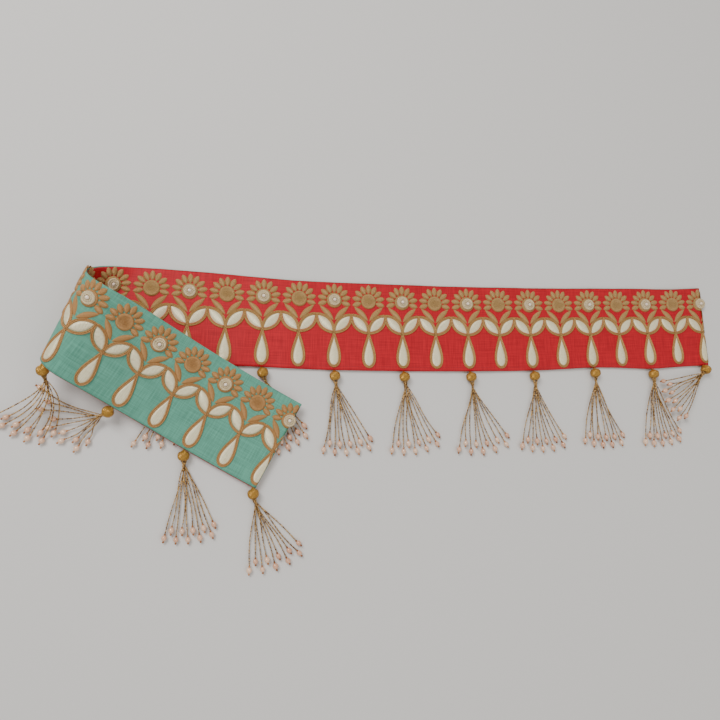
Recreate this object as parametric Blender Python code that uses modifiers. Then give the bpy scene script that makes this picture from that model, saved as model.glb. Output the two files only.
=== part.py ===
"""A toran door hanging, laid flat with its left end folded back over the front.

The strip is two cloth panels sewn back to back, a red front and a green back, about 1 m long.
It lies red side up. Its left end rolls over in one open, conical fold, wider at the top edge
than at the bottom edge, and comes back to the right with the green side up, down to the floor.
Fourteen tassels hang on the bottom edge, one at every second flower of the repeat. Beaded
buttons sit on the flowers above them, on the faces that point up.

Places along the strip are counted in repeats from its middle flower, to the right. Places
across it are metres from the line where the leaves meet, towards the bottom edge.
"""

import math

import bmesh
import bpy
import numpy as np
from mathutils import Vector

# The repeat and the strip, in metres.
PITCH = 0.0385
TOP_EDGE = -0.0561
BOTTOM_EDGE = 0.0404
FLOWER_LINE = -0.0358
CLOTH = 0.0011
PANEL_GAP = 0.0003
SEAT_GAP = 0.0004

# The ends of the strip and the stations along it, in repeats.
LEFT_END = -19.08
RIGHT_END = 7.07
FOLD_SPAN = (-14.2, -10.9)
FLAP_STATIONS = 12
FOLD_STATIONS = 28
FRONT_STATIONS = 36
ROWS_ACROSS = 6
STATION_LEANS = (
    # place in repeats, tangent of the station line's lean, which follows the fold's straight lines
    (LEFT_END, 0.0),
    (-13.6, 0.175),
    (-11.4, 0.654),
    (-8.0, 0.0),
)

# The middle line's turn for each repeat, in radians, and how that turn changes.
FRONT_TURN = 0.0056
FRONT_TURN_CHANGE = -0.00039
FLAP_TURN = 0.021
FLAP_TURN_FROM = -11.0

# The fold is part of a cone that touches the floor along one line through its apex.
FOLD_APEX = (-0.5556, -0.1791)
FOLD_LEAN = math.radians(33.2)
FOLD_HALF_ANGLE = math.radians(6.51)
FOLD_WRAP = math.radians(205.6)
FLAP_SETTLE = 0.632

# How far each edge wanders from straight, as soft bumps, outwards where positive.
EDGE_WAVES = (
    # edge, centre in repeats, width in repeats, amount in metres
    ("top", -12.1, 0.75, -0.0070),
    ("top", -6.0, 0.9, -0.0010),
    ("top", -8.6, 1.2, 0.0010),
    ("top", 6.0, 0.6, -0.0014),
    ("bottom", -7.2, 0.8, -0.0010),
    ("bottom", 3.0, 0.9, -0.0021),
    ("bottom", 5.0, 0.6, 0.0016),
)

# The buttons: a flat rosette with a pearl at its centre.
BUTTON_RADIUS = 0.0064
BUTTON_SIDES = 10
BUTTON_PROFILE = (
    # radius, height
    (0.0022, 0.0024),
    (0.0058, 0.0020),
    (BUTTON_RADIUS, 0.0),
)
BUTTON_CROWN = 0.0036
FRONT_BUTTONS = range(-11, 8, 2)
FLAP_BUTTONS = range(-19, -12, 2)

# The tassel: a thread stub and a wrapped head, then strands that each end in a pearl.
HEAD_SIDES = 10
HEAD_PROFILE = (
    # place along the head from its thread, radius
    (0.0000, 0.0009),
    (0.0016, 0.0011),
    (0.0022, 0.0036),
    (0.0050, 0.0055),
    (0.0090, 0.0053),
    (0.0118, 0.0034),
)
HEAD_MIDDLE = 0.0065
HEAD_REST = 0.0058
HOOK_GAP = 0.0006
ROOT_INSET = 0.0006
STRAND_HALF = 0.0006
STRAND_SHARES = (0.34, 0.67, 1.0)
PEARL_HALF = 0.0028
PEARL_LENGTH = 0.0062
PEARL_REST = 0.0031
PEARL_STEP = 0.0085
NECK_SHARE = 0.42
NECK_SPREAD = 0.0025
NECK_HOLD = 0.75

# Headings are degrees from straight down the front's width, to the right. Heights are metres.
TASSELS = (
    # name, repeat, neck heading, fan from, fan to, reach from, reach to, dip, bend height, lift
    ("tassel_01", 7, -50, -80, -31, 0.064, 0.076, 0, 0.0080, 0.0055),
    ("tassel_02", 5, 3, -14, 26, 0.082, 0.083, 0, 0.0007, 0.0),
    ("tassel_03", 3, 3, -15, 25, 0.080, 0.088, 0, 0.0007, 0.0),
    ("tassel_04", 1, 3, -16, 28, 0.081, 0.086, 0, 0.0007, 0.0),
    ("tassel_05", -1, 6, -15, 34, 0.082, 0.086, 0, 0.0007, 0.0),
    ("tassel_06", -3, 5, -14, 32, 0.081, 0.082, 0, 0.0007, 0.0),
    ("tassel_07", -5, 8, -12, 31, 0.079, 0.086, 0, 0.0007, 0.0),
    ("tassel_08", -7, 20, 1, 39, 0.085, 0.079, 0, 0.0007, 0.0),
    ("tassel_09", -9, -13, -35, 9, 0.088, 0.064, 0, 0.0007, 0.0),
    ("tassel_10", -11, 48, 24, 72, 0.060, 0.060, 0, 0.0007, 0.0),
    ("tassel_11", -13, 17.6, -55.2, 2.1, 0.066, 0.066, 24.4, 0.0190, 0.0),
    ("tassel_12", -15, -65.2, -115.7, -28.8, 0.072, 0.042, 19.3, 0.0012, 0.0),
    ("tassel_13", -17, 5, -15, 25, 0.082, 0.084, 6, 0.0007, 0.0),
    ("tassel_14", -19, 17, -6, 44, 0.076, 0.078, 4, 0.0007, 0.0),
)

COLOURS = {
    # linear colour, roughness, metallic
    "red_silk": ((0.520, 0.012, 0.022), 0.48, 0.0),
    "green_silk": ((0.090, 0.380, 0.250), 0.48, 0.0),
    "gold_bead": ((0.680, 0.430, 0.180), 0.32, 0.8),
    "gota_ribbon": ((0.830, 0.740, 0.500), 0.38, 0.4),
}


def new_collection(name):
    """A collection of that name, in the scene."""
    made = bpy.data.collections.new(name)
    bpy.context.scene.collection.children.link(made)
    return made


def finish_of(name, slot):
    """A piece's own Principled material, in the colour of its finish."""
    colour, roughness, metallic = COLOURS[slot]
    material = bpy.data.materials.new(f"{name}_{slot}")
    material.use_nodes = True
    shader = material.node_tree.nodes["Principled BSDF"]
    shader.inputs["Base Color"].default_value = (*colour, 1.0)
    shader.inputs["Roughness"].default_value = roughness
    shader.inputs["Metallic"].default_value = metallic
    return material


def put(name, mesh, slot, collection):
    """Link a mesh as a named object with its own material."""
    mesh.materials.append(finish_of(name, slot))
    piece = bpy.data.objects.new(name, mesh)
    collection.objects.link(piece)
    return piece


def middle_line(place):
    """Plan position and heading of the strip's middle line, summed from its slow turn."""
    steps = np.linspace(LEFT_END - 1.0, RIGHT_END + 1.0, 1401)
    bounded = np.maximum(steps, FLAP_TURN_FROM)
    heading = FRONT_TURN * bounded + FRONT_TURN_CHANGE * bounded**2 / 2
    heading += FLAP_TURN * np.minimum(steps - FLAP_TURN_FROM, 0.0)
    stride = (steps[1] - steps[0]) * PITCH
    along = np.cumsum(np.cos(heading)) * stride
    aside = np.cumsum(np.sin(heading)) * stride
    along -= np.interp(0.0, steps, along)
    aside -= np.interp(0.0, steps, aside)
    return [np.interp(place, steps, values) for values in (along, aside, heading)]


def unfolded(place, across):
    """Where a point of the strip would lie if the strip were all flat on the floor."""
    along, aside, heading = middle_line(place)
    return np.stack([along + np.sin(heading) * across, aside - np.cos(heading) * across], -1)


def folded(place, across):
    """The strip's middle surface: flat, then round a cone, then a plane that bends back level."""
    apex = np.array([*FOLD_APEX, 0.0])
    line = np.array([math.sin(FOLD_LEAN), math.cos(FOLD_LEAN), 0.0])
    outward = np.array([-line[1], line[0], 0.0])
    rise = np.array([0.0, 0.0, 1.0])
    axis = math.cos(FOLD_HALF_ANGLE) * line + math.sin(FOLD_HALF_ANGLE) * rise
    up = math.cos(FOLD_HALF_ANGLE) * rise - math.sin(FOLD_HALF_ANGLE) * line
    flat = unfolded(place, across) - apex[:2]
    reach = np.hypot(flat[..., 0], flat[..., 1])
    angle = np.arctan2(flat @ outward[:2], flat @ line[:2])

    def on_cone(turn):
        """Unit direction from the apex, and the way it turns, at a turn about the axis."""
        cosine, sine = np.cos(turn)[..., None], np.sin(turn)[..., None]
        side = math.sin(FOLD_HALF_ANGLE) * (sine * outward - cosine * up)
        return math.cos(FOLD_HALF_ANGLE) * axis + side, sine * up + cosine * outward

    wrap_angle = FOLD_WRAP * math.sin(FOLD_HALF_ANGLE)
    turn = np.clip(angle / math.sin(FOLD_HALF_ANGLE), 0.0, FOLD_WRAP)
    ray, sweep = on_cone(turn)
    before = np.minimum(angle, 0.0)[..., None]
    direction = np.cos(before) * ray + np.sin(before) * sweep
    last_ray, last_sweep = on_cone(np.array(FOLD_WRAP))
    above = np.cross(last_ray, last_sweep)
    above *= np.sign(above[2])
    opening = math.atan2(1.0, FLAP_SETTLE)
    centre = math.cos(opening) * last_ray + math.sin(opening) * above
    spoke = (last_ray - math.cos(opening) * centre) / math.sin(opening)
    swing = (np.maximum(angle - wrap_angle, 0.0) / math.sin(opening))[..., None]
    settled = math.cos(opening) * centre
    settled = settled + math.sin(opening) * (np.cos(swing) * spoke + np.sin(swing) * last_sweep)
    direction = np.where((angle > wrap_angle)[..., None], settled, direction)
    middle_height = CLOTH + PANEL_GAP / 2
    return apex + reach[..., None] * direction + middle_height * rise


def frame_at(place, across):
    """The middle surface at a point, with its unit normal, its way along and its way down."""
    place, across = np.asarray(place, float), np.asarray(across, float)
    small = 0.02
    along = folded(place + small, across) - folded(place - small, across)
    down = folded(place, across + small * PITCH) - folded(place, across - small * PITCH)
    along /= np.linalg.norm(along, axis=-1, keepdims=True)
    down /= np.linalg.norm(down, axis=-1, keepdims=True)
    normal = np.cross(down, along)
    normal /= np.linalg.norm(normal, axis=-1, keepdims=True)
    return folded(place, across), normal, along, down


def edge(which, place):
    """The strip's top or bottom edge with its soft wander, in metres across."""
    outwards = sum(
        amount * np.exp(-(((place - centre) / width) ** 2) / 2)
        for name, centre, width, amount in EDGE_WAVES
        if name == which
    )
    return TOP_EDGE - outwards if which == "top" else BOTTOM_EDGE + outwards


def stations():
    """Places along the strip, closer together in the fold."""
    flap = np.linspace(LEFT_END, FOLD_SPAN[0], FLAP_STATIONS, endpoint=False)
    fold = np.linspace(*FOLD_SPAN, FOLD_STATIONS, endpoint=False)
    front = np.linspace(FOLD_SPAN[1], RIGHT_END, FRONT_STATIONS)
    return np.concatenate([flap, fold, front])


def panel(name, slot, side, collection):
    """One cloth panel: the strip's surface just off its middle, thickened away from it."""
    station = stations()[:, None]
    share = np.linspace(0.0, 1.0, ROWS_ACROSS)
    lean = np.interp(station, *np.transpose(STATION_LEANS))
    place = station - lean * (TOP_EDGE * (1 - share) + BOTTOM_EDGE * share) / PITCH
    across = edge("top", place) * (1 - share) + edge("bottom", place) * share
    middle, normal, _, _ = frame_at(place, across)
    points = (middle + side * normal * PANEL_GAP / 2).reshape(-1, 3)
    count = len(place)
    first = (np.arange(count - 1)[:, None] * ROWS_ACROSS + np.arange(ROWS_ACROSS - 1)).reshape(-1)
    corners = (first, first + 1, first + ROWS_ACROSS + 1, first + ROWS_ACROSS)
    mesh = bpy.data.meshes.new(name)
    mesh.from_pydata(points.tolist(), [], np.stack(corners, -1).tolist())
    piece = put(name, mesh, slot, collection)
    shell = piece.modifiers.new("cloth", "SOLIDIFY")
    shell.thickness = CLOTH
    shell.offset = side
    shell.use_even_offset = True
    mesh.shade_smooth()
    return piece


def button(name, place, side, collection):
    """A turned button on a flower's centre, lying along the panel's outer face."""
    lift = PANEL_GAP / 2 + CLOTH + SEAT_GAP
    made = bmesh.new()
    rings = []
    for radius, height in BUTTON_PROFILE:
        angle = np.linspace(0.0, 2 * math.pi, BUTTON_SIDES, endpoint=False)
        places = place + radius * np.cos(angle) / PITCH
        middle, normal, _, _ = frame_at(places, FLOWER_LINE + radius * np.sin(angle))
        points = middle + side * normal * (lift + height)
        rings.append([made.verts.new(point) for point in points.tolist()])
    middle, normal, _, _ = frame_at(float(place), FLOWER_LINE)
    crown = made.verts.new((middle + side * normal * (lift + BUTTON_CROWN)).tolist())
    seat = made.verts.new((middle + side * normal * lift).tolist())
    for step in range(BUTTON_SIDES):
        after = (step + 1) % BUTTON_SIDES
        made.faces.new((crown, rings[0][step], rings[0][after]))
        for upper, lower in zip(rings, rings[1:]):
            made.faces.new((upper[step], lower[step], lower[after], upper[after]))
        made.faces.new((seat, rings[-1][after], rings[-1][step]))
    bmesh.ops.recalc_face_normals(made, faces=made.faces)
    mesh = bpy.data.meshes.new(name)
    made.to_mesh(mesh)
    made.free()
    put(name, mesh, "gota_ribbon", collection)


def heading_vector(degrees):
    """A level direction, in degrees from straight down the front's width, to the right."""
    angle = math.radians(degrees)
    return Vector((math.sin(angle), -math.cos(angle), 0.0))


def turned_head(start, hook, axis, side, up):
    """The wrapped head about its axis, from its thread's hook, and its outlet faces."""
    made = bmesh.new()
    rings = []
    for place, radius in HEAD_PROFILE:
        centre = start + axis * place if place else hook
        ring = []
        for step in range(HEAD_SIDES):
            angle = 2 * math.pi * (step + 0.5) / HEAD_SIDES
            arm = side * math.cos(angle) + up * math.sin(angle)
            ring.append(made.verts.new(centre + arm * radius))
        rings.append(ring)
    outlets = []
    for first, second in zip(rings, rings[1:]):
        outlets = []
        for step in range(HEAD_SIDES):
            after = (step + 1) % HEAD_SIDES
            quad = (first[step], first[after], second[after], second[step])
            outlets.append(made.faces.new(quad))
    made.faces.new(rings[0][::-1])
    made.faces.new(rings[-1])
    bmesh.ops.recalc_face_normals(made, faces=made.faces)
    bmesh.ops.inset_individual(made, faces=outlets, thickness=ROOT_INSET)
    return made, outlets


def place_in_row(arm, side):
    """A root's place in the row of strands: by its side, and the higher of a pair further out."""
    return -arm.dot(side) * (1 + arm.z)


def strand_rings(root, bend, end):
    """Ring centres and half widths along a strand: a curve pulled to its bend, then a pearl."""
    way = (end - bend).normalized()
    last = end - way * PEARL_LENGTH / 2
    rings = []
    for share in STRAND_SHARES:
        keep = 1 - share
        centre = root * keep**2 + bend * 2 * keep * share + last * share**2
        rings.append((centre, STRAND_HALF))
    rings.append((end, PEARL_HALF))
    rings.append((end + way * PEARL_LENGTH / 2, STRAND_HALF))
    return rings


def square_ring(centre, way, half):
    """Four corners about a centre, square to the way, in order as seen from ahead."""
    side = way.cross(Vector((0, 0, 1))).normalized()
    up = side.cross(way)
    return [
        centre + (side * right + up * high) * half
        for right, high in ((1, -1), (-1, -1), (-1, 1), (1, 1))
    ]


def grow_strand(made, outlet, rings):
    """Carry an outlet face along rings of four corners, and close the last one."""
    corners = list(outlet.verts)
    before = outlet.calc_center_median()
    made.faces.remove(outlet)
    for centre, half in rings:
        ring = square_ring(centre, (centre - before).normalized(), half)
        turns = [ring[turn:] + ring[:turn] for turn in range(4)]
        best = min(turns, key=lambda turn: sum((c.co - p).length for c, p in zip(corners, turn)))
        grown = [made.verts.new(point) for point in best]
        for step in range(4):
            after = (step + 1) % 4
            made.faces.new((corners[step], corners[after], grown[after], grown[step]))
        corners = grown
        before = centre
    made.faces.new(corners)


def tassel(row, collection):
    """A tassel on the bottom edge: its head, and strands that fan out and rest on the floor."""
    name, place, neck, fan_from, fan_to, reach_from, reach_to, dip, bend_height, lift = row
    middle, _, _, down = frame_at(float(place), edge("bottom", float(place)))
    hook = Vector(middle) + Vector(down) * HOOK_GAP
    outward = math.degrees(math.atan2(down[0], -down[1]))
    level = heading_vector(outward + (neck - outward) * NECK_HOLD)
    tilt = math.radians(dip)
    axis = level * math.cos(tilt) - Vector((0, 0, 1)) * math.sin(tilt)
    side = axis.cross(Vector((0, 0, 1))).normalized()
    start = Vector((hook.x, hook.y, max(hook.z, HEAD_REST)))
    made, outlets = turned_head(start, hook, axis, side, side.cross(axis))
    centre = start + axis * HEAD_MIDDLE
    centre.z = 0.0
    across = heading_vector((neck + (fan_from + fan_to) / 2) / 2 + 90)
    outlets.sort(key=lambda face: place_in_row(face.calc_center_median() - start, side))
    reach_middle = (reach_from + reach_to) / 2
    for step, outlet in enumerate(outlets):
        share = (step + 0.5) / len(outlets)
        heading = fan_from + (fan_to - fan_from) * share
        reach = reach_from + (reach_to - reach_from) * share
        end = centre + heading_vector(heading) * reach
        bend = centre + heading_vector(neck) * reach_middle * NECK_SHARE
        bend += across * NECK_SPREAD * (step - (len(outlets) - 1) / 2)
        end -= (end - bend).normalized() * PEARL_STEP * (step % 2)
        end.z = PEARL_REST + lift
        bend.z = bend_height
        grow_strand(made, outlet, strand_rings(outlet.calc_center_median(), bend, end))
    mesh = bpy.data.meshes.new(name)
    made.to_mesh(mesh)
    made.free()
    put(name, mesh, "gold_bead", collection)


def stand_at_middle(pieces):
    """Shift every mesh so that the part's footprint is centred and its lowest point is at zero."""
    bpy.context.view_layer.update()
    graph = bpy.context.evaluated_depsgraph_get()
    points = []
    for piece in pieces:
        shown = piece.evaluated_get(graph).data
        flat = np.empty(len(shown.vertices) * 3, np.float32)
        shown.vertices.foreach_get("co", flat)
        points.append(flat.reshape(-1, 3))
    points = np.concatenate(points)
    low, high = points.min(0), points.max(0)
    shift = np.array([-(low[0] + high[0]) / 2, -(low[1] + high[1]) / 2, -low[2]])
    for piece in pieces:
        flat = np.empty(len(piece.data.vertices) * 3, np.float32)
        piece.data.vertices.foreach_get("co", flat)
        moved = flat.reshape(-1, 3) + shift.astype(np.float32)
        piece.data.vertices.foreach_set("co", moved.reshape(-1))
        piece.data.update()


def build():
    """Make the whole toran in a collection of its own."""
    for piece in list(bpy.data.objects):
        bpy.data.objects.remove(piece, do_unlink=True)
    collection = new_collection("toran")
    panel("band_red", "red_silk", 1, collection)
    panel("band_green", "green_silk", -1, collection)
    for row in TASSELS:
        tassel(row, collection)
    for count, place in enumerate(FRONT_BUTTONS, 1):
        button(f"button_red_{count:02d}", place, 1, collection)
    for count, place in enumerate(FLAP_BUTTONS, 1):
        button(f"button_green_{count:02d}", place, -1, collection)
    stand_at_middle(list(collection.objects))


build()
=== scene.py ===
"""A toran door hanging, laid flat with its left end folded back, dressed as cloth and beads.

Places along the strip are counted in repeats from its middle flower, to the right. Places
across it are metres from the line where the leaves meet, towards the bottom edge. Heights are
metres from the cloth's middle surface, on the red side where positive.
"""

import math

import bpy
import numpy as np
from mathutils import Euler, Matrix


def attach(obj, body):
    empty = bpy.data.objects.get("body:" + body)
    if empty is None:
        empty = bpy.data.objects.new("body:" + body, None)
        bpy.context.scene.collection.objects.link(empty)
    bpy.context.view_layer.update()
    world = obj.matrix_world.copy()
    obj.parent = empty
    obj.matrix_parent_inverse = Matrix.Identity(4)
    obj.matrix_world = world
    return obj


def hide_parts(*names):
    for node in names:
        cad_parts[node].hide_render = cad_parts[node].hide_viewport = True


bl_info = {
    "name": "Toran door hanging",
    "version": (1, 0, 0),
    "blender": (4, 5, 0),
    "location": "View3D > Sidebar > Toran",
    "description": "Dresses a folded toran with cloth, ribbon work and beaded tassels",
    "category": "Object",
}

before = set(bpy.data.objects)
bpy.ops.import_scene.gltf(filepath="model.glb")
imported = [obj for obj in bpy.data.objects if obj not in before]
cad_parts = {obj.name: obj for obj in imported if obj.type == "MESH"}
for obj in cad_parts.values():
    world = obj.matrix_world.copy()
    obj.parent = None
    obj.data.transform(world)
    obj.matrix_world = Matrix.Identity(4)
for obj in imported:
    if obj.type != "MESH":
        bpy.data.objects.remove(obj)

# The strip, as in the part's source, in metres. SHIFT carries its middle flower to the frame.
SHIFT = np.array([0.127454, 0.086486, 0.0])
PITCH = 0.0385
TOP_EDGE = -0.0561
BOTTOM_EDGE = 0.0404
FLOWER_LINE = -0.0358
CLOTH = 0.0011
PANEL_GAP = 0.0003
LEFT_END = -19.08
RIGHT_END = 7.07
FRONT_TURN = 0.0056
FRONT_TURN_CHANGE = -0.00039
FLAP_TURN = 0.021
FLAP_TURN_FROM = -11.0
FOLD_APEX = (-0.5556, -0.1791)
FOLD_LEAN = math.radians(33.2)
FOLD_HALF_ANGLE = math.radians(6.51)
FOLD_WRAP = math.radians(205.6)
FLAP_SETTLE = 0.632
EDGE_WAVES = (
    # edge, centre in repeats, width in repeats, amount in metres
    ("top", -12.1, 0.75, -0.0070),
    ("top", -6.0, 0.9, -0.0010),
    ("top", -8.6, 1.2, 0.0010),
    ("top", 6.0, 0.6, -0.0014),
    ("bottom", -7.2, 0.8, -0.0010),
    ("bottom", 3.0, 0.9, -0.0021),
    ("bottom", 5.0, 0.6, 0.0016),
)
STATION_LEANS = ((LEFT_END, 0.0), (-13.6, 0.175), (-11.4, 0.654), (-8.0, 0.0))
SURFACE = PANEL_GAP / 2 + CLOTH
SWELLS = (
    # height in metres, turns per repeat in radians, start, change across the strip
    (0.00032, 2.05, 1.3, 2.2),
    (0.00022, 4.4, 0.4, -3.1),
    (0.00012, 9.7, 2.0, 5.0),
)
PANEL_ROWS = 380
PANEL_COLUMNS = 40

# The wave texture repeats this far apart at scale 1.
WAVE_UNIT = 2 * math.pi / 20

# How dark the silk is between its slubs, as a share of its colour.
SILK_SHADE = 0.62

# The camera, in metres and degrees.
CAMERA_PLACE = (-0.16710, -0.01992, 0.63850)
CAMERA_TURN = (7.30185, -11.33114, -1.78853)
LENS_MM = 30.0
SENSOR_MM = 36.0

# The floor's half width, and the lights.
FLOOR_HALF = 3.0
LIGHTS = (
    # name, place, turn in degrees, size, power
    ("key", (-0.9, 1.0, 1.6), (-32, -28, 0), 0.9, 30.0),
    ("fill", (0.8, -0.9, 1.7), (28, 25, 0), 1.8, 12.0),
)

# Where the repeats stand on each side, and which of them carry a button.
RED_PLACES = np.arange(-19, 8)
GREEN_PLACES = np.arange(-19, -11)
RED_BUTTONS = np.arange(-11, 8, 2)
GREEN_BUTTONS = np.arange(-19, -12, 2)

# The tassel, as in the part's source.
HEAD_REST = 0.0058
HEAD_MIDDLE = 0.0065
HOOK_GAP = 0.0006
NECK_HOLD = 0.75
NECK_SHARE = 0.42
NECK_SPREAD = 0.0025
PEARL_STEP = 0.0085
PEARL_REST = 0.0031
STRANDS = 10
ROOT_PLACE = 0.0102
FLOOR_HOLD = 0.0009
STRAND_END = 0.0031
STRAND_WANDER = 0.0014
PEARL_STRETCH = 1.12
TIP_RADIUS = 0.0011
# Beads stand this many radii apart along their strand.
BEAD_SPACING = 2.15
# Ridges round the wrapped head, and how far they stand out as a share of its radius.
HEAD_RIDGES = 14
HEAD_RIDGE_SHARE = 0.05
TASSELS = (
    # node, repeat, neck heading, fan from, fan to, reach from, reach to, dip, bend height, lift
    ("tassel_01", 7, -50, -80, -31, 0.064, 0.076, 0, 0.0080, 0.0055),
    ("tassel_02", 5, 3, -14, 26, 0.082, 0.083, 0, 0.0007, 0.0),
    ("tassel_03", 3, 3, -15, 25, 0.080, 0.088, 0, 0.0007, 0.0),
    ("tassel_04", 1, 3, -16, 28, 0.081, 0.086, 0, 0.0007, 0.0),
    ("tassel_05", -1, 6, -15, 34, 0.082, 0.086, 0, 0.0007, 0.0),
    ("tassel_06", -3, 5, -14, 32, 0.081, 0.082, 0, 0.0007, 0.0),
    ("tassel_07", -5, 8, -12, 31, 0.079, 0.086, 0, 0.0007, 0.0),
    ("tassel_08", -7, 20, 1, 39, 0.085, 0.079, 0, 0.0007, 0.0),
    ("tassel_09", -9, -13, -35, 9, 0.088, 0.064, 0, 0.0007, 0.0),
    ("tassel_10", -11, 48, 24, 72, 0.060, 0.060, 0, 0.0007, 0.0),
    ("tassel_11", -13, 17.6, -55.2, 2.1, 0.066, 0.066, 24.4, 0.0190, 0.0),
    ("tassel_12", -15, -65.2, -115.7, -28.8, 0.072, 0.042, 19.3, 0.0012, 0.0),
    ("tassel_13", -17, 5, -15, 25, 0.082, 0.084, 6, 0.0007, 0.0),
    ("tassel_14", -19, 17, -6, 44, 0.076, 0.078, 4, 0.0007, 0.0),
)


class ToranSizes(bpy.types.PropertyGroup):
    """Sizes a user would change."""

    petals: bpy.props.IntProperty(
        name="Petals", description="Padded petals of one flower", default=9, min=5, max=15
    )
    cord_width: bpy.props.FloatProperty(
        name="Cord width", description="Width of the doubled gold cord",
        default=0.0030, unit="LENGTH", subtype="DISTANCE",
    )
    bead_radius: bpy.props.FloatProperty(
        name="Bead radius", description="Radius of the strands' small beads",
        default=0.00072, unit="LENGTH", subtype="DISTANCE",
    )
    pearl_radius: bpy.props.FloatProperty(
        name="Pearl radius", description="Radius of the pearl that ends a strand",
        default=0.0028, unit="LENGTH", subtype="DISTANCE",
    )


class ToranColours(bpy.types.PropertyGroup):
    """Colours a user would change, as linear values."""

    red: bpy.props.FloatVectorProperty(
        name="Red silk", description="Colour of the front panel", subtype="COLOR",
        default=(0.560, 0.008, 0.018), min=0.0, max=1.0,
    )
    green: bpy.props.FloatVectorProperty(
        name="Green silk", description="Colour of the back panel", subtype="COLOR",
        default=(0.125, 0.390, 0.275), min=0.0, max=1.0,
    )


def linear(code):
    """Linear colour from an sRGB hex code."""
    shown = np.array([int(code[place:place + 2], 16) / 255 for place in (0, 2, 4)])
    value = np.where(shown <= 0.04045, shown / 12.92, ((shown + 0.055) / 1.055) ** 2.4)
    return (*value.tolist(), 1.0)


# The surface of the laid cloth.


def middle_line(place):
    """Plan position and heading of the strip's middle line, summed from its slow turn."""
    steps = np.linspace(LEFT_END - 1.0, RIGHT_END + 1.0, 1401)
    bounded = np.maximum(steps, FLAP_TURN_FROM)
    heading = FRONT_TURN * bounded + FRONT_TURN_CHANGE * bounded**2 / 2
    heading += FLAP_TURN * np.minimum(steps - FLAP_TURN_FROM, 0.0)
    stride = (steps[1] - steps[0]) * PITCH
    along = np.cumsum(np.cos(heading)) * stride
    aside = np.cumsum(np.sin(heading)) * stride
    along -= np.interp(0.0, steps, along)
    aside -= np.interp(0.0, steps, aside)
    return [np.interp(place, steps, values) for values in (along, aside, heading)]


def folded(place, across):
    """The strip's middle surface: flat, then round a cone, then a plane that bends back level."""
    apex = np.array([*FOLD_APEX, 0.0])
    line = np.array([math.sin(FOLD_LEAN), math.cos(FOLD_LEAN), 0.0])
    outward = np.array([-line[1], line[0], 0.0])
    rise = np.array([0.0, 0.0, 1.0])
    axis = math.cos(FOLD_HALF_ANGLE) * line + math.sin(FOLD_HALF_ANGLE) * rise
    up = math.cos(FOLD_HALF_ANGLE) * rise - math.sin(FOLD_HALF_ANGLE) * line
    along, aside, heading = middle_line(place)
    flat = np.stack([along + np.sin(heading) * across, aside - np.cos(heading) * across], -1)
    flat = flat - apex[:2]
    reach = np.hypot(flat[..., 0], flat[..., 1])
    angle = np.arctan2(flat @ outward[:2], flat @ line[:2])

    def on_cone(turn):
        """Unit direction from the apex, and the way it turns, at a turn about the axis."""
        cosine, sine = np.cos(turn)[..., None], np.sin(turn)[..., None]
        side = math.sin(FOLD_HALF_ANGLE) * (sine * outward - cosine * up)
        return math.cos(FOLD_HALF_ANGLE) * axis + side, sine * up + cosine * outward

    wrap_angle = FOLD_WRAP * math.sin(FOLD_HALF_ANGLE)
    turn = np.clip(angle / math.sin(FOLD_HALF_ANGLE), 0.0, FOLD_WRAP)
    ray, sweep = on_cone(turn)
    before = np.minimum(angle, 0.0)[..., None]
    direction = np.cos(before) * ray + np.sin(before) * sweep
    last_ray, last_sweep = on_cone(np.array(FOLD_WRAP))
    above = np.cross(last_ray, last_sweep)
    above *= np.sign(above[2])
    opening = math.atan2(1.0, FLAP_SETTLE)
    centre = math.cos(opening) * last_ray + math.sin(opening) * above
    spoke = (last_ray - math.cos(opening) * centre) / math.sin(opening)
    swing = (np.maximum(angle - wrap_angle, 0.0) / math.sin(opening))[..., None]
    settled = math.cos(opening) * centre
    settled = settled + math.sin(opening) * (np.cos(swing) * spoke + np.sin(swing) * last_sweep)
    direction = np.where((angle > wrap_angle)[..., None], settled, direction)
    return SHIFT + apex + reach[..., None] * direction + SURFACE * rise


def frame_at(place, across):
    """The middle surface at points, with its unit normal, its way along and its way down."""
    place, across = np.broadcast_arrays(np.asarray(place, float), np.asarray(across, float))
    small = 0.02
    along = folded(place + small, across) - folded(place - small, across)
    down = folded(place, across + small * PITCH) - folded(place, across - small * PITCH)
    along /= np.linalg.norm(along, axis=-1, keepdims=True)
    down /= np.linalg.norm(down, axis=-1, keepdims=True)
    normal = np.cross(down, along)
    normal /= np.linalg.norm(normal, axis=-1, keepdims=True)
    return folded(place, across), normal, along, down


def edge(which, place):
    """The strip's top or bottom edge with its soft wander, in metres across."""
    outwards = sum(
        amount * np.exp(-(((place - centre) / width) ** 2) / 2)
        for name, centre, width, amount in EDGE_WAVES
        if name == which
    )
    return TOP_EDGE - outwards if which == "top" else BOTTOM_EDGE + outwards


def swell(place, across):
    """Soft lift of the laid cloth: a few slow waves along it, stronger at its two edges."""
    share = (across - TOP_EDGE) / (BOTTOM_EDGE - TOP_EDGE)
    rim = 0.35 + 0.65 * np.abs(2 * share - 1) ** 2
    waves = sum(
        height * (1 + np.sin(turns * place + start + change * share))
        for height, turns, start, change in SWELLS
    )
    return waves * rim


def on_cloth(place, across, height, side):
    """Points above the cloth's outer face on a side: 1 for red, -1 for green."""
    middle, normal, _, _ = frame_at(place, across)
    rise = side * (SURFACE + height) + swell(place, across)
    return middle + normal * rise[..., None]


# Meshes from arrays.


def grid_faces(rows, columns, closed=False):
    """Quads of a grid of points kept row by row, whose columns may close round."""
    row = np.arange(rows - 1)[:, None] * columns
    column = np.arange(columns if closed else columns - 1)
    after = (column + 1) % columns
    corners = (row + column, row + after, row + columns + after, row + columns + column)
    return np.stack([corner.reshape(-1) for corner in corners], -1)


def repeated(faces, size, count):
    """The same faces for several copies of a template of that many points."""
    return (faces[None] + (np.arange(count) * size)[:, None, None]).reshape(-1, faces.shape[1])


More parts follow.
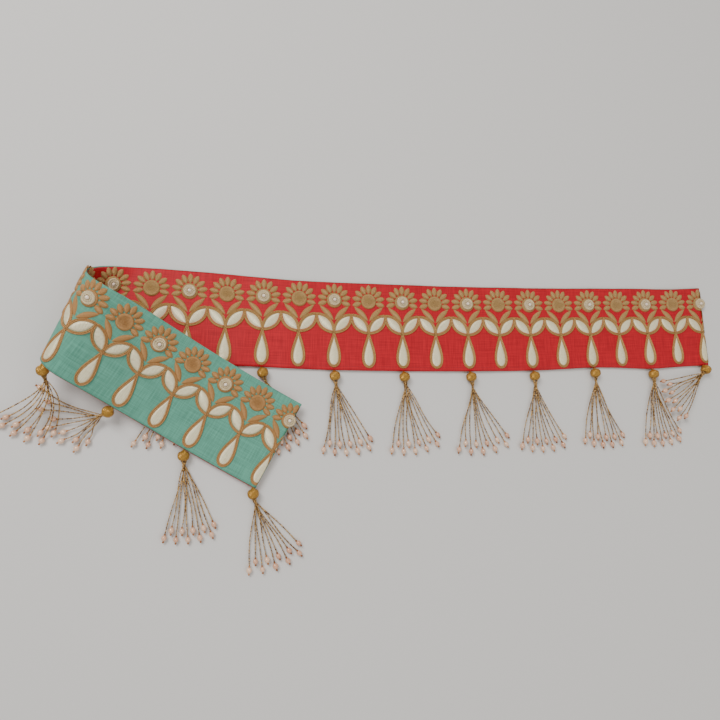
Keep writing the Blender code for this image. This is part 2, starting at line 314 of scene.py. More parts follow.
def joined(parts):
    """One set of points, faces and paint coordinates from several."""
    points, faces, paint, start = [], [], [], 0
    for some_points, some_faces, some_paint in parts:
        points.append(some_points.reshape(-1, 3))
        faces.append(some_faces + start)
        paint.append(some_paint.reshape(-1, 2))
        start += len(points[-1])
    return np.concatenate(points), np.concatenate(faces), np.concatenate(paint)


def piece(name, points, faces, paint, material, slot):
    """A smooth object from arrays, with its paint coordinates in metres, riding on the root."""
    mesh = bpy.data.meshes.new(name)
    mesh.from_pydata(points.reshape(-1, 3).tolist(), [], faces.tolist())
    layer = mesh.uv_layers.new(name="UVMap")
    corners = np.empty(len(mesh.loops), np.int32)
    mesh.loops.foreach_get("vertex_index", corners)
    layer.data.foreach_set("uv", paint.reshape(-1, 2)[corners].astype(np.float32).reshape(-1))
    mesh.materials.append(material)
    mesh.shade_smooth()
    made = bpy.data.objects.new(name, mesh)
    bpy.context.scene.collection.objects.link(made)
    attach(made, "root")
    return made


def laid_out(template, faces, places, side):
    """A flat template of (along, across, height, paint u, paint v) on the cloth at each place."""
    place = places[:, None] + template[None, :, 0] / PITCH
    place = np.clip(place, LEFT_END + 0.01, RIGHT_END - 0.01)
    across = np.broadcast_to(template[None, :, 1], place.shape)
    height = np.broadcast_to(template[None, :, 2], place.shape)
    points = on_cloth(place, across, height, side)
    paint = np.broadcast_to(template[None, :, 3:5], (*place.shape, 2)).copy()
    paint[..., 0] += places[:, None] * 0.137
    turned = faces if side > 0 else faces[:, ::-1]
    return points, repeated(turned, len(template), len(places)), paint


# Templates of the ribbon work, in metres from where the leaves meet.


def lens(start, end, half_width, crown, rows=13, columns=7, bow=0.0, fullness=0.8):
    """A padded leaf between two points: its width swells and closes, its top is rounded."""
    start, end = np.array(start), np.array(end)
    share = np.linspace(0.0, 1.0, rows)[:, None]
    side = np.linspace(-1.0, 1.0, columns)[None, :]
    way = (end - start) / np.linalg.norm(end - start)
    cross = np.array([-way[1], way[0]])
    width = half_width * np.sin(math.pi * share) ** fullness
    spine = start + (end - start) * share[..., None]
    flat = spine + cross * (side * width + bow * np.sin(math.pi * share))[..., None]
    height = crown * np.sqrt(np.maximum(1 - side**2, 0)) * np.sin(math.pi * share) ** 0.5
    length = np.linalg.norm(end - start)
    return padded_template(flat, height, share * length, side * width), grid_faces(rows, columns)


def padded_template(flat, height, along, aside):
    """Template rows from plan points, heights and paint coordinates."""
    shape = flat.shape[:-1]
    parts = [flat[..., 0], flat[..., 1], height, along, aside]
    return np.stack([np.broadcast_to(part, shape).reshape(-1) for part in parts], -1)


def drop_outline(angle, top, bottom, half_width):
    """Plan points of a drop: pointed at its top, round at its bottom."""
    spread = half_width * np.sin(angle) * np.sin(angle / 2) ** 1.55 * 1.27
    return np.stack([spread, top + (bottom - top) * (1 - np.cos(angle)) / 2], -1)


def drop(top, bottom, half_width, crown, rows=18, columns=9):
    """A padded drop of ribbon."""
    angle = np.linspace(0.0, math.pi, rows)[:, None]
    side = np.linspace(-1.0, 1.0, columns)[None, :]
    outline = drop_outline(angle, top, bottom, half_width)
    flat = np.stack([outline[..., 0] * side, outline[..., 1] + 0 * side], -1)
    height = crown * np.sqrt(np.maximum(1 - side**2, 0)) * np.sin(angle) ** 0.35
    return padded_template(flat, height, flat[..., 1], flat[..., 0]), grid_faces(rows, columns)


def band(path, width, crown, closed=True, columns=9):
    """A doubled cord along a plan path: two rounded ridges side by side."""
    ahead, behind = np.roll(path, -1, 0), np.roll(path, 1, 0)
    if not closed:
        ahead[-1], behind[0] = path[-1], path[0]
    way = ahead - behind
    way /= np.maximum(np.linalg.norm(way, axis=-1, keepdims=True), 1e-9)
    cross = np.stack([-way[:, 1], way[:, 0]], -1)
    side = np.linspace(-1.0, 1.0, columns)
    ridge = np.sqrt(np.maximum(1 - (2 * np.abs(side) - 1) ** 2, 0))
    flat = path[:, None] + cross[:, None] * (side * width / 2)[None, :, None]
    run = np.concatenate([[0.0], np.cumsum(np.linalg.norm(np.diff(path, axis=0), axis=-1))])
    height = crown * np.broadcast_to(0.12 + 0.88 * ridge, flat.shape[:2]).copy()
    height[:, [0, -1]] = -0.0002
    template = padded_template(flat, height, run[:, None], (side * width / 2)[None, :])
    faces = grid_faces(len(path), columns)
    if closed:
        last, first = (len(path) - 1) * columns + np.arange(columns - 1), np.arange(columns - 1)
        faces = np.concatenate([faces, np.stack([last, last + 1, first + 1, first], -1)])
    return template, faces


def leaf_path(start, end, half_width, steps=22, fullness=0.72):
    """Closed plan path round a leaf, down one side and back up the other."""
    start, end = np.array(start), np.array(end)
    way = (end - start) / np.linalg.norm(end - start)
    cross = np.array([-way[1], way[0]])
    share = np.linspace(0.0, 1.0, steps)
    one_way = start + (end - start) * share[:, None]
    one_way = one_way + cross * (half_width * np.sin(math.pi * share) ** fullness)[:, None]
    back = start + (end - start) * share[:, None]
    back = back - cross * (half_width * np.sin(math.pi * share) ** fullness)[:, None]
    return np.concatenate([one_way, back[-2:0:-1]])


def disc(rings, sides=28, centre=(0.0, FLOWER_LINE)):
    """A round template from rings of (radius, height)."""
    angle = np.linspace(0.0, 2 * math.pi, sides, endpoint=False)[None, :]
    radius, height = np.transpose(rings)[..., None]
    flat = np.stack([centre[0] + radius * np.cos(angle), centre[1] + radius * np.sin(angle)], -1)
    template = padded_template(flat, height + 0 * angle, angle * 0.008 + 0 * radius, radius)
    return template, grid_faces(len(rings), sides, closed=True)


# Materials.


def node(tree, kind, inputs=(), **settings):
    """Add a node: settings are attributes, inputs are links or values by socket."""
    made = tree.nodes.new(kind)
    for name, value in settings.items():
        setattr(made, name, value)
    for name, value in dict(inputs).items():
        if isinstance(value, bpy.types.NodeSocket):
            tree.links.new(value, made.inputs[name])
        else:
            made.inputs[name].default_value = value
    return made


def finish(name):
    """A new node material, its tree, its Principled shader and its paint coordinates."""
    material = bpy.data.materials.new(name)
    material.use_nodes = True
    tree = material.node_tree
    shader = tree.nodes["Principled BSDF"]
    paint = node(tree, "ShaderNodeUVMap", uv_map="UVMap").outputs["UV"]
    return material, tree, shader, paint


def stretched(tree, paint, along, across):
    """Paint coordinates counted in features of those two sizes, in metres."""
    scale = {"Vector": paint, "Scale": (1 / along, 1 / across, 1.0)}
    return node(tree, "ShaderNodeMapping", scale).outputs["Vector"]


def mixed(tree, share, first, second):
    """A colour between two, by a share."""
    values = {"Factor": share, "A": first, "B": second}
    made = tree.nodes.new("ShaderNodeMix")
    made.data_type = "RGBA"
    sockets = {"Factor": made.inputs[0], "A": made.inputs[6], "B": made.inputs[7]}
    for name, value in values.items():
        if isinstance(value, bpy.types.NodeSocket):
            tree.links.new(value, sockets[name])
        else:
            sockets[name].default_value = value
    return made.outputs[2]


def silk(name, colour, dark):
    """Art silk: even colour with fine slubs both ways, which give the eye its weave."""
    material, tree, shader, paint = finish(name)
    colour, dark = (*colour, 1.0), (*dark, 1.0)
    lengthwise = stretched(tree, paint, 0.030, 0.0009)
    crosswise = stretched(tree, paint, 0.0010, 0.022)
    slub = node(tree, "ShaderNodeTexNoise", {"Vector": lengthwise, "Scale": 1.0, "Detail": 3.0})
    weft = node(tree, "ShaderNodeTexNoise", {"Vector": crosswise, "Scale": 1.0, "Detail": 3.0})
    both = node(tree, "ShaderNodeMath", {0: slub.outputs["Fac"], 1: weft.outputs["Fac"]})
    spread = {"Value": both.outputs[0], "From Min": 0.75, "From Max": 1.25}
    share = node(tree, "ShaderNodeMapRange", spread).outputs["Result"]
    tree.links.new(mixed(tree, share, dark, colour), shader.inputs["Base Color"])
    bump = {"Height": both.outputs[0], "Strength": 0.35, "Distance": 0.0003}
    tree.links.new(node(tree, "ShaderNodeBump", bump).outputs["Normal"], shader.inputs["Normal"])
    shader.inputs["Roughness"].default_value = 0.55
    shader.inputs["Specular IOR Level"].default_value = 0.25
    return material


def thread(name, light, dark, twist, metallic, roughness, slant=1.0):
    """Gold thread or cord: slanting strands with a painted highlight on their crowns and painted
    shade in the grooves between them, over a little random grain; the metal also catches the
    light.
    """
    material, tree, shader, paint = finish(name)
    turned = {"Vector": paint, "Rotation": (0.0, 0.0, math.radians(45 * slant))}
    turned = node(tree, "ShaderNodeMapping", turned).outputs["Vector"]
    lines = {"Vector": turned, "Scale": WAVE_UNIT / twist}
    wave = node(tree, "ShaderNodeTexWave", lines, wave_profile="SIN")
    grain = {"Vector": stretched(tree, paint, 0.0016, 0.0010), "Scale": 1.0, "Detail": 2.0}
    noise = node(tree, "ShaderNodeTexNoise", grain).outputs["Fac"]
    both = node(tree, "ShaderNodeMath", {0: wave.outputs["Fac"], 1: noise}, operation="ADD")
    spread = {"Value": both.outputs[0], "From Min": 0.45, "From Max": 1.35}
    share = node(tree, "ShaderNodeMapRange", spread).outputs["Result"]
    # The light colour is the strands' painted highlight, the dark colour their painted shade in
    # the grooves.
    tree.links.new(mixed(tree, share, linear(dark), linear(light)), shader.inputs["Base Color"])
    bump = {"Height": both.outputs[0], "Strength": 0.6, "Distance": 0.0004}
    tree.links.new(node(tree, "ShaderNodeBump", bump).outputs["Normal"], shader.inputs["Normal"])
    shader.inputs["Metallic"].default_value = metallic
    shader.inputs["Roughness"].default_value = roughness
    return material


def ribbon(name):
    """Gota ribbon: cream metallic weave with fine pleats across; its colour is painted darker in
    the pleats' folds as painted shade, and lighter on their ridges and in scattered patches as
    painted glints.
    """
    material, tree, shader, paint = finish(name)
    lines = {"Vector": paint, "Scale": WAVE_UNIT / 0.0012, "Distortion": 1.5, "Detail": 2.0}
    wave = node(tree, "ShaderNodeTexWave", lines, bands_direction="X").outputs["Fac"]
    grain = {"Vector": stretched(tree, paint, 0.0022, 0.0030), "Scale": 1.0, "Detail": 4.0}
    noise = node(tree, "ShaderNodeTexNoise", grain).outputs["Fac"]
    both = node(tree, "ShaderNodeMath", {0: wave, 1: noise}, operation="ADD").outputs[0]
    spread = {"Value": both, "From Min": 0.35, "From Max": 1.25}
    share = node(tree, "ShaderNodeMapRange", spread).outputs["Result"]
    # The dark cream is painted shade in the pleats' folds, the light cream painted glints on their
    # ridges and in scattered patches.
    tree.links.new(
        mixed(tree, share, linear("cdb787"), linear("f3ecc9")), shader.inputs["Base Color"]
    )
    bump = {"Height": both, "Strength": 0.45, "Distance": 0.0004}
    tree.links.new(node(tree, "ShaderNodeBump", bump).outputs["Normal"], shader.inputs["Normal"])
    shader.inputs["Metallic"].default_value = 0.25
    shader.inputs["Roughness"].default_value = 0.38
    return material


def bead_finish(name, light, dark, metallic, roughness, coat=0.0):
    """Glossy beads whose tone changes a little from one to the next."""
    material, tree, shader, paint = finish(name)
    grain = {"Vector": stretched(tree, paint, 0.0016, 0.0016), "Scale": 1.0, "Detail": 0.0}
    noise = node(tree, "ShaderNodeTexNoise", grain).outputs["Fac"]
    spread = {"Value": noise, "From Min": 0.35, "From Max": 0.65}
    share = node(tree, "ShaderNodeMapRange", spread).outputs["Result"]
    tree.links.new(mixed(tree, share, linear(dark), linear(light)), shader.inputs["Base Color"])
    shader.inputs["Metallic"].default_value = metallic
    shader.inputs["Roughness"].default_value = roughness
    shader.inputs["Coat Weight"].default_value = coat
    return material


# The cloth and what is sewn on it.


def cloth_surface(side, top_lip, bottom_lip):
    """Points and paint of a panel: the folded surface at lines that lean with the fold."""
    station = np.linspace(LEFT_END, RIGHT_END, PANEL_ROWS)[:, None]
    share = np.linspace(0.0, 1.0, PANEL_COLUMNS)[None, :]
    lean = np.interp(station, *np.transpose(STATION_LEANS))
    place = station - lean * (TOP_EDGE * (1 - share) + BOTTOM_EDGE * share) / PITCH
    top, bottom = edge("top", place) - top_lip, edge("bottom", place) + bottom_lip
    across = top * (1 - share) + bottom * share
    points = on_cloth(place, across, np.full(place.shape, -CLOTH), side)
    return points, np.stack([place * PITCH, across], -1)


class ToranCloth(bpy.types.Operator):
    """The two silk panels, sewn back to back and folded."""

    bl_idname = "toran.cloth"
    bl_label = "Silk panels"

    def execute(self, context):
        """Make the red and green panels as thin closed sheets."""
        colours = context.scene.toran_colours
        for name, side, colour, top_lip, bottom_lip, node_name in (
            ("cloth_red", 1, colours.red, 0.0, 0.0007, "band_red"),
            ("cloth_green", -1, colours.green, 0.0006, 0.0, "band_green"),
        ):
            points, paint = cloth_surface(side, top_lip, bottom_lip)
            faces = grid_faces(PANEL_ROWS, PANEL_COLUMNS)
            shade = [SILK_SHADE * value for value in colour]
            material = silk(f"{name}_silk", colour, shade)
            slot = "red_silk" if side > 0 else "green_silk"
            made = piece(name, points, faces, paint, material, slot)
            shell = made.modifiers.new("thickness", "SOLIDIFY")
            shell.thickness = CLOTH
            shell.offset = side
            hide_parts(node_name)
        return {"FINISHED"}


class ToranRibbonWork(bpy.types.Operator):
    """Padded leaves and drops of cream ribbon, each in a doubled gold cord."""

    bl_idname = "toran.ribbon_work"
    bl_label = "Leaves and drops"

    def execute(self, context):
        """Lay the leaf and drop templates, and their cords, at every repeat."""
        width = context.scene.toran_sizes.cord_width
        fills, cords = [], []
        for turn in (-1, 1):
            start, end = (turn * 0.0016, -0.0020), (turn * 0.0176, -0.0186)
            fills.append(lens(start, end, 0.0047, 0.0012))
            path = leaf_path((turn * 0.0004, -0.0004), (turn * 0.0192, -0.0200), 0.0063)
            cords.append(band(path, width, 0.0013))
        fills.append(drop(0.0044, 0.0356, 0.0061, 0.0013))
        angle = np.linspace(0.06, 2 * math.pi - 0.06, 50)
        cords.append(band(drop_outline(angle, 0.0004, 0.0369, 0.0072), width, 0.0013))
        gota = ribbon("gota_ribbon_pleats")
        for face, places, side, light, dark in (
            ("red", RED_PLACES, 1, "c79b5c", "7d5527"),
            ("green", GREEN_PLACES, -1, "c8955a", "7f5428"),
        ):
            parts = [laid_out(template, faces, places, side) for template, faces in fills]
            piece(f"ribbon_{face}", *joined(parts), gota, "gota_ribbon")
            parts = [laid_out(template, faces, places, side) for template, faces in cords]
            # light and dark are the cord's painted highlight and painted shade.
            cord = thread(f"gold_cord_{face}", light, dark, 0.0011, 0.35, 0.42)
            piece(f"cord_{face}", *joined(parts), cord, "gota_ribbon")
        return {"FINISHED"}


class ToranFlowers(bpy.types.Operator):
    """Flowers of padded thread petals round a coiled disc, in a pointed calyx."""

    bl_idname = "toran.flowers"
    bl_label = "Flowers"

    def execute(self, context):
        """Lay the flower template at every repeat."""
        petals = context.scene.toran_sizes.petals
        parts = []
        first, last = math.radians(-15), math.radians(195)
        for angle in np.linspace(first, last, petals):
            way = np.array([math.cos(angle), -math.sin(angle)])
            centre = np.array([0.0, FLOWER_LINE])
            inner, outer = centre + way * 0.0082, centre + way * 0.0188
            parts.append(lens(inner, outer, 0.0030, 0.0017, 9, 7, fullness=0.62))
        for turn in (-1, 1):
            tip = (turn * 0.0162, FLOWER_LINE + 0.0062)
            root = (turn * 0.0006, -0.0136)
            parts.append(lens(root, tip, 0.0031, 0.0015, 11, 7, bow=-turn * 0.0006))
        rings = (
            (0.0001, 0.0004), (0.0016, 0.0012), (0.0027, 0.0005), (0.0040, 0.0014),
            (0.0051, 0.0009), (0.0062, 0.0017), (0.0074, 0.0017), (0.0084, 0.0009),
            (0.0087, -0.0002),
        )
        parts.append(disc(rings))
        for face, places, side, light, dark in (
            ("red", RED_PLACES, 1, "c7a065", "8a6331"),
            ("green", GREEN_PLACES, -1, "c8945a", "8b5f2f"),
        ):
            laid = [laid_out(template, faces, places, side) for template, faces in parts]
            # light and dark are the thread's painted highlight and painted shade.
            stitch = thread(f"zari_thread_{face}", light, dark, 0.0008, 0.25, 0.5, slant=0.2)
            piece(f"flowers_{face}", *joined(laid), stitch, "gota_ribbon")
        return {"FINISHED"}


class ToranButtons(bpy.types.Operator):
    """Buttons of coiled cream ribbon with a pearl, on every second flower."""

    bl_idname = "toran.buttons"
    bl_label = "Buttons"

    def execute(self, context):
        """Make the buttons of each face as one piece, and their pearls as another."""
        rings = (
            (0.0064, -0.0001), (0.0066, 0.0012), (0.0062, 0.0024), (0.0054, 0.0028),
            (0.0047, 0.0023), (0.0042, 0.0021), (0.0038, 0.0029), (0.0031, 0.0033),
            (0.0024, 0.0028), (0.0021, 0.0020), (0.0010, 0.0019), (0.0001, 0.0019),
        )
        pearl = [
            (0.0019 * math.cos(tilt) + 0.00002, 0.0027 + 0.0019 * math.sin(tilt))
            for tilt in np.linspace(-1.2, math.pi / 2, 9)
        ]
        # The two colours are the coil's painted highlight and painted shade.
        gota = thread("gota_coil", "f1e3bd", "b08a50", 0.0010, 0.25, 0.35, slant=0.3)
        white = bead_finish("cream_pearl", "fbeede", "e9cfb4", 0.0, 0.16, coat=0.6)
        for face, places, side in (("red", RED_BUTTONS, 1), ("green", GREEN_BUTTONS, -1)):
            template, faces = disc(rings, 24)
            points, faces, paint = spread_buttons(template, faces[:, ::-1], places, side)
            made = piece(f"buttons_{face}", points, faces, paint, gota, "gota_ribbon")
            count = len(places)
            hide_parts(*[f"button_{face}_{number:02d}" for number in range(1, count + 1)])
            template, faces = disc(pearl, 16)
            points, faces, paint = spread_buttons(template, faces[:, ::-1], places, side)
            piece(f"button_pearls_{face}", points, faces, paint, white, "gota_ribbon")
        return {"FINISHED"}


def spread_buttons(template, faces, places, side):
    """Buttons at each place: they stand whole where the cloth's end cuts their flower."""
    place = places[:, None] + template[None, :, 0] / PITCH
    across = np.broadcast_to(template[None, :, 1], place.shape)
    height = np.broadcast_to(template[None, :, 2] + 0.0009, place.shape)
    points = on_cloth(place, across, height, side)
    paint = np.broadcast_to(template[None, :, 3:5], (*place.shape, 2))
    turned = faces if side > 0 else faces[:, ::-1]
    return points, repeated(turned, len(template), len(places)), paint


# The tassels.


def heading_way(degrees):
    """Level unit vectors, in degrees from straight down the front's width, to the right."""
    angle = np.radians(degrees)
    return np.stack([np.sin(angle), -np.cos(angle), np.zeros_like(angle)], -1)


def tassel_head(start, hook, axis, side, up):
    """The wrapped head: a ridged barrel with a thread to the cloth's edge."""
    profile = np.array([
        (-0.0003, 0.0004), (0.0010, 0.0009), (0.0019, 0.0022), (0.0027, 0.0040),
        (0.0036, 0.0050), (0.0047, 0.0056), (0.0058, 0.0057), (0.0070, 0.0057),
        (0.0081, 0.0056), (0.0091, 0.0053), (0.0100, 0.0047), (0.0107, 0.0040),
        (0.0112, 0.0034), (0.0108, 0.0022), (0.0104, 0.0004),
    ])
    angle = np.linspace(0.0, 2 * math.pi, 48, endpoint=False)
    stagger = (np.arange(len(profile)) % 2)[:, None] * math.pi
    ridge = 1 + HEAD_RIDGE_SHARE * np.cos(HEAD_RIDGES * angle[None, :] + stagger)
    radius = profile[:, 1][:, None] * ridge
    centre = start + profile[:, :1] * axis
    centre[0] = hook
    centre[1] = hook * 0.5 + centre[1] * 0.5
    arm = side * np.cos(angle)[:, None] + up * np.sin(angle)[:, None]
    points = centre[:, None] + radius[..., None] * arm[None]
    paint = np.stack(np.broadcast_arrays(angle * 0.0055, profile[:, :1]), -1)
    return points, grid_faces(len(profile), len(angle), closed=True), paint


def along_paths(paths, spacing):
    """Points and unit ways at even spacing along several smooth paths, strand by strand."""
    spots, ways = [], []
    for path in paths:
        run = np.concatenate([[0.0], np.cumsum(np.linalg.norm(np.diff(path, axis=0), axis=-1))])
        count = int(run[-1] / spacing)
        at = np.linspace(spacing / 2, run[-1] - spacing / 2, count)
        spot = np.stack([np.interp(at, run, path[:, axis]) for axis in range(3)], -1)
        way = np.gradient(spot, axis=0)
        ways.append(way / np.linalg.norm(way, axis=-1, keepdims=True))
        spots.append(spot)
    return np.concatenate(spots), np.concatenate(ways)


def threaded(profile, sides, spots, ways, sizes, tones):
    """Turned beads on each spot, their holes along the way. Profile is (place along, radius)."""
    side = np.cross(ways, (0.0, 0.0, 1.0))
    side /= np.maximum(np.linalg.norm(side, axis=-1, keepdims=True), 1e-6)
    up = np.cross(side, ways)
    angle = np.linspace(0.0, 2 * math.pi, sides, endpoint=False)
    arm = side[:, None] * np.cos(angle)[:, None] + up[:, None] * np.sin(angle)[:, None]
    profile = np.array(profile)
    ring = ways[:, None] * profile[None, :, :1] * sizes[:, None, None]
    points = spots[:, None, None] + ring[:, :, None]
    spread = profile[None, :, 1, None, None] * sizes[:, None, None, None]
    points = points + arm[:, None] * spread
    count = len(spots)
    faces = repeated(grid_faces(len(profile), sides, closed=True), len(profile) * sides, count)
    paint = np.broadcast_to(tones[:, None, None, None], (*points.shape[:3], 2))
    return points, faces, paint


def strand_paths(row, rng):
    """Root, bends and pearl place of each strand, as smooth paths that lie down on the floor."""
    name, place, neck, fan_from, fan_to, reach_from, reach_to, dip, bend_height, lift = row
    middle, _, _, down = frame_at(float(place), edge("bottom", float(place)))
    hook = middle + down * HOOK_GAP
    outward = math.degrees(math.atan2(down[0], -down[1]))
    level = heading_way(outward + (neck - outward) * NECK_HOLD)
    tilt = math.radians(dip)
    axis = level * math.cos(tilt) - np.array([0.0, 0.0, math.sin(tilt)])
    side = np.cross(axis, (0.0, 0.0, 1.0))
    side /= np.linalg.norm(side)
    up = np.cross(side, axis)
    start = np.array([hook[0], hook[1], max(hook[2], HEAD_REST)])
    centre = start + axis * HEAD_MIDDLE
    centre[2] = 0.0
    step = np.arange(STRANDS)
    share = (step + 0.5) / STRANDS
    across = heading_way((neck + (fan_from + fan_to) / 2) / 2 + 90)
    end = centre + heading_way(fan_from + (fan_to - fan_from) * share) * (
        reach_from + (reach_to - reach_from) * share
    )[:, None]
    bend = centre + heading_way(neck) * (reach_from + reach_to) / 2 * NECK_SHARE
    bend = bend + across * (NECK_SPREAD * (step - (STRANDS - 1) / 2))[:, None]
    way = end - bend
    way[:, 2] = 0.0
    way /= np.linalg.norm(way, axis=-1, keepdims=True)
    end = end - way * (PEARL_STEP * (step % 2))[:, None]
    end[:, 2] = PEARL_REST + lift
    bend[:, 2] = bend_height
    angle = math.pi * (1 - share)
    root = start + axis * ROOT_PLACE
    root = root - side * (0.0030 * np.cos(math.pi * share))[:, None]
    root = root + up * (0.0018 * np.where(step % 2, 1, -1) * np.sin(angle))[:, None]
    last = end - way * STRAND_END
    time = np.linspace(0.0, 1.0, 40)[None, :, None]
    path = root[:, None] * (1 - time) ** 2 + bend[:, None] * 2 * time * (1 - time)
    path = path + last[:, None] * time**2
    wave = rng.uniform(-1, 1, (STRANDS, 1, 2)) * STRAND_WANDER
    aside = np.cross(way, (0.0, 0.0, 1.0))[:, None]
    path = path + aside * (
        wave[..., :1] * np.sin(2 * math.pi * time) + wave[..., 1:] * np.sin(math.pi * time)
    )
    path[..., 2] = np.maximum(path[..., 2], FLOOR_HOLD)
    return path, end, way, (start, hook, axis, side, up)


class ToranTassels(bpy.types.Operator):
    """Tassels: a wrapped head, strands of small beads, and a pearl at each strand's end."""

    bl_idname = "toran.tassels"
    bl_label = "Tassels"

    def execute(self, context):
        """Make each tassel's strands as one piece, with its head and its pearls."""
        sizes = context.scene.toran_sizes
        rng = np.random.default_rng(7)
        radius, pearl_radius = sizes.bead_radius, sizes.pearl_radius
        gold = bead_finish("gold_glass_bead", "d9b070", "6e4a22", 0.75, 0.3)
        # The two colours are the wrapped head's painted highlight and painted shade.
        gimp = thread("gold_gimp", "d9a548", "7a4d18", 0.0009, 0.6, 0.35)
        pearl = bead_finish("peach_pearl", "f2cbab", "dba583", 0.05, 0.2, coat=0.7)
        copper = bead_finish("copper_bead", "c98a58", "8f5630", 0.8, 0.3)
        bead = [(-radius * 1.05, radius * 0.45), (-radius * 0.5, radius), (radius * 0.5, radius),
                (radius * 1.05, radius * 0.45)]
        tilt = np.linspace(-math.pi / 2 + 0.12, math.pi / 2 - 0.12, 9)
        long_radius = pearl_radius * PEARL_STRETCH
        ball = [(math.sin(t) * long_radius, math.cos(t) * pearl_radius) for t in tilt]
        small = [(math.sin(t) * TIP_RADIUS, math.cos(t) * TIP_RADIUS) for t in tilt[::2]]
        for row in TASSELS:
            name = row[0]
            path, end, way, head = strand_paths(row, rng)
            points, faces, paint = tassel_head(*head)
            piece(f"{name}_head", points, faces, paint, gimp, "gold_bead")
            spots, ways = along_paths(path, radius * BEAD_SPACING)
            some = rng.uniform(0.82, 1.08, len(spots))
            strands = threaded(bead, 6, spots, ways, some, rng.uniform(0, 1, len(spots)))
            made = piece(f"{name}_strands", *strands, gold, "gold_bead")
            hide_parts(name)
            some = rng.uniform(0.9, 1.06, len(end))
            tones = rng.uniform(0, 1, len(end))
            balls = threaded(ball, 12, end, way, some, tones)
            piece(f"{name}_pearls", *balls, pearl, "gold_bead")
            tip = end + way * (long_radius + 0.0008) * some[:, None]
            cap = end - way * (long_radius + 0.0006) * some[:, None]
            tip[:, 2] = np.maximum(tip[:, 2], 0.0012)
            ends = np.concatenate([tip, cap])
            twice = np.concatenate([way, way])
            beads = threaded(small, 8, ends, twice, np.ones(len(ends)), np.tile(tones, 2))
            piece(f"{name}_tips", *beads, copper, "gold_bead")
        return {"FINISHED"}


class ToranStitches(bpy.types.Operator):
    """The sewing line above each bottom edge, in small sunk stitches."""

    bl_idname = "toran.stitches"
    bl_label = "Stitches"

    def execute(self, context):
        """Lay one row of stitches on each face."""
        length, gap = 0.0022, 0.0010
        for face, first, last, side, code in (
            ("red", -18.9, 6.95, 1, "8e1420"), ("green", -18.9, -12.1, -1, "5a9a82"),
        ):
            count = int((last - first) * PITCH / (length + gap))
            places = np.linspace(first, last, count)
            along = np.linspace(-0.5, 0.5, 5)[:, None] * length
            side_way = np.linspace(-1, 1, 5)[None, :]
            flat_place = places[:, None, None] + along / PITCH + 0 * side_way
            across = edge("bottom", flat_place) - 0.0036 + side_way * 0.00022
            height = 0.00028 * np.cos(math.pi * along / length) * np.sqrt(1 - 0.9 * side_way**2)
            height = np.broadcast_to(height - 0.00004, flat_place.shape)
            points = on_cloth(flat_place, across, height, side)
            faces = repeated(grid_faces(5, 5), 25, count)
            faces = faces if side > 0 else faces[:, ::-1]
            paint = np.stack([flat_place * PITCH, across], -1)
            material = bead_finish(f"sewing_thread_{face}", code, code, 0.0, 0.6)
            slot = f"{face}_silk"
            piece(f"stitches_{face}", points, faces, paint, material, slot)
        return {"FINISHED"}


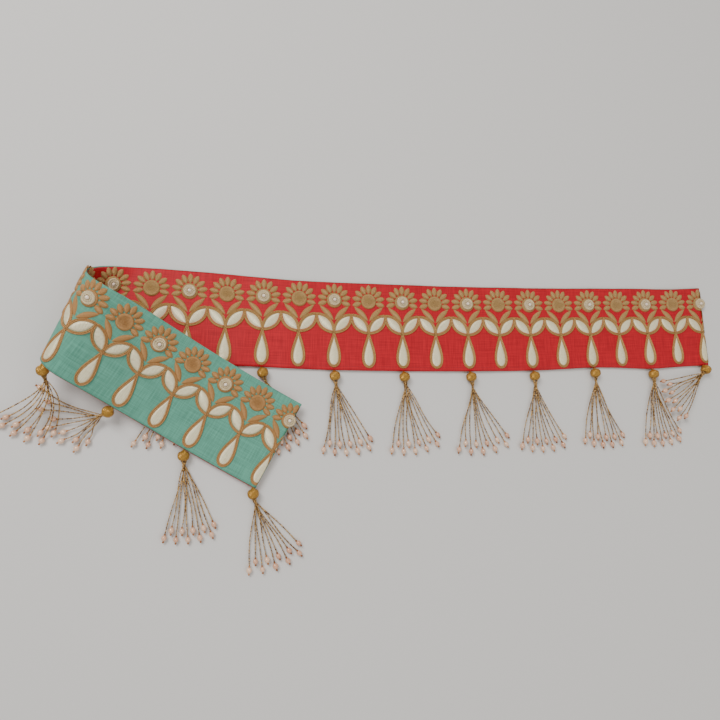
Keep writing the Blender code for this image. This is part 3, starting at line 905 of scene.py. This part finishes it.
class ToranStage(bpy.types.Operator):
    """A pale floor, soft studio light and the camera."""

    bl_idname = "toran.stage"
    bl_label = "Stage"

    def execute(self, context):
        """Make the floor, the lights and the camera."""
        scene = context.scene
        half = FLOOR_HALF
        corners = [(-half, -half, 0), (half, -half, 0), (half, half, 0), (-half, half, 0)]
        mesh = bpy.data.meshes.new("floor")
        mesh.from_pydata(corners, [], [(0, 1, 2, 3)])
        material = bpy.data.materials.new("matt_backdrop")
        material.use_nodes = True
        shader = material.node_tree.nodes["Principled BSDF"]
        shader.inputs["Base Color"].default_value = linear("d9d6d2")
        shader.inputs["Roughness"].default_value = 0.9
        mesh.materials.append(material)
        floor = bpy.data.objects.new("floor", mesh)
        scene.collection.objects.link(floor)
        for name, spot, turn, size, power in LIGHTS:
            light = bpy.data.lights.new(name, "AREA")
            light.size = size
            light.energy = power
            lamp = bpy.data.objects.new(name, light)
            lamp.location = spot
            lamp.rotation_euler = Euler([math.radians(value) for value in turn])
            scene.collection.objects.link(lamp)
        world = bpy.data.worlds.new("studio")
        world.use_nodes = True
        backdrop = world.node_tree.nodes["Background"]
        backdrop.inputs["Color"].default_value = (1.0, 0.99, 0.97, 1.0)
        backdrop.inputs["Strength"].default_value = 0.55
        scene.world = world
        lens_data = bpy.data.cameras.new("camera")
        lens_data.lens = LENS_MM
        lens_data.sensor_width = SENSOR_MM
        camera = bpy.data.objects.new("camera", lens_data)
        camera.location = CAMERA_PLACE
        camera.rotation_euler = Euler([math.radians(value) for value in CAMERA_TURN])
        scene.collection.objects.link(camera)
        scene.camera = camera
        return {"FINISHED"}


class ToranPanel(bpy.types.Panel):
    """Lists the toran's makers and settings."""

    bl_idname = "VIEW3D_PT_toran"
    bl_label = "Toran"
    bl_space_type = "VIEW_3D"
    bl_region_type = "UI"
    bl_category = "Toran"

    def draw(self, context):
        """Show the settings, then a button for each operator."""
        layout = self.layout
        for name in ("petals", "cord_width", "bead_radius", "pearl_radius"):
            layout.prop(context.scene.toran_sizes, name)
        for name in ("red", "green"):
            layout.prop(context.scene.toran_colours, name)
        for operator in OPERATORS:
            layout.operator(operator.bl_idname)


OPERATORS = (
    ToranCloth,
    ToranRibbonWork,
    ToranFlowers,
    ToranButtons,
    ToranTassels,
    ToranStitches,
    ToranStage,
)
CLASSES = (ToranSizes, ToranColours, *OPERATORS, ToranPanel)


def register():
    """Register the classes and the scene's settings."""
    for one in CLASSES:
        bpy.utils.register_class(one)
    bpy.types.Scene.toran_sizes = bpy.props.PointerProperty(type=ToranSizes)
    bpy.types.Scene.toran_colours = bpy.props.PointerProperty(type=ToranColours)


def unregister():
    """Take the classes and the settings away again."""
    del bpy.types.Scene.toran_colours
    del bpy.types.Scene.toran_sizes
    for one in reversed(CLASSES):
        bpy.utils.unregister_class(one)


def declare_sheets():
    """Look up the pieces sewn on each cloth panel."""
    for name, rests in (("cloth_red", ["cloth_green"]), ("cloth_green", ["floor"])):
        face = name.split("_")[1]
        sewn = [f"{kind}_{face}" for kind in ("ribbon", "cord", "flowers", "stitches")]
        sewn = [bpy.data.objects[one] for one in sewn]


def main():
    """Register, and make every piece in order."""
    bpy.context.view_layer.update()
    register()
    for operator in OPERATORS:
        group, name = operator.bl_idname.split(".")
        getattr(getattr(bpy.ops, group), name)()
    declare_sheets()


if __name__ == "__main__":
    main()
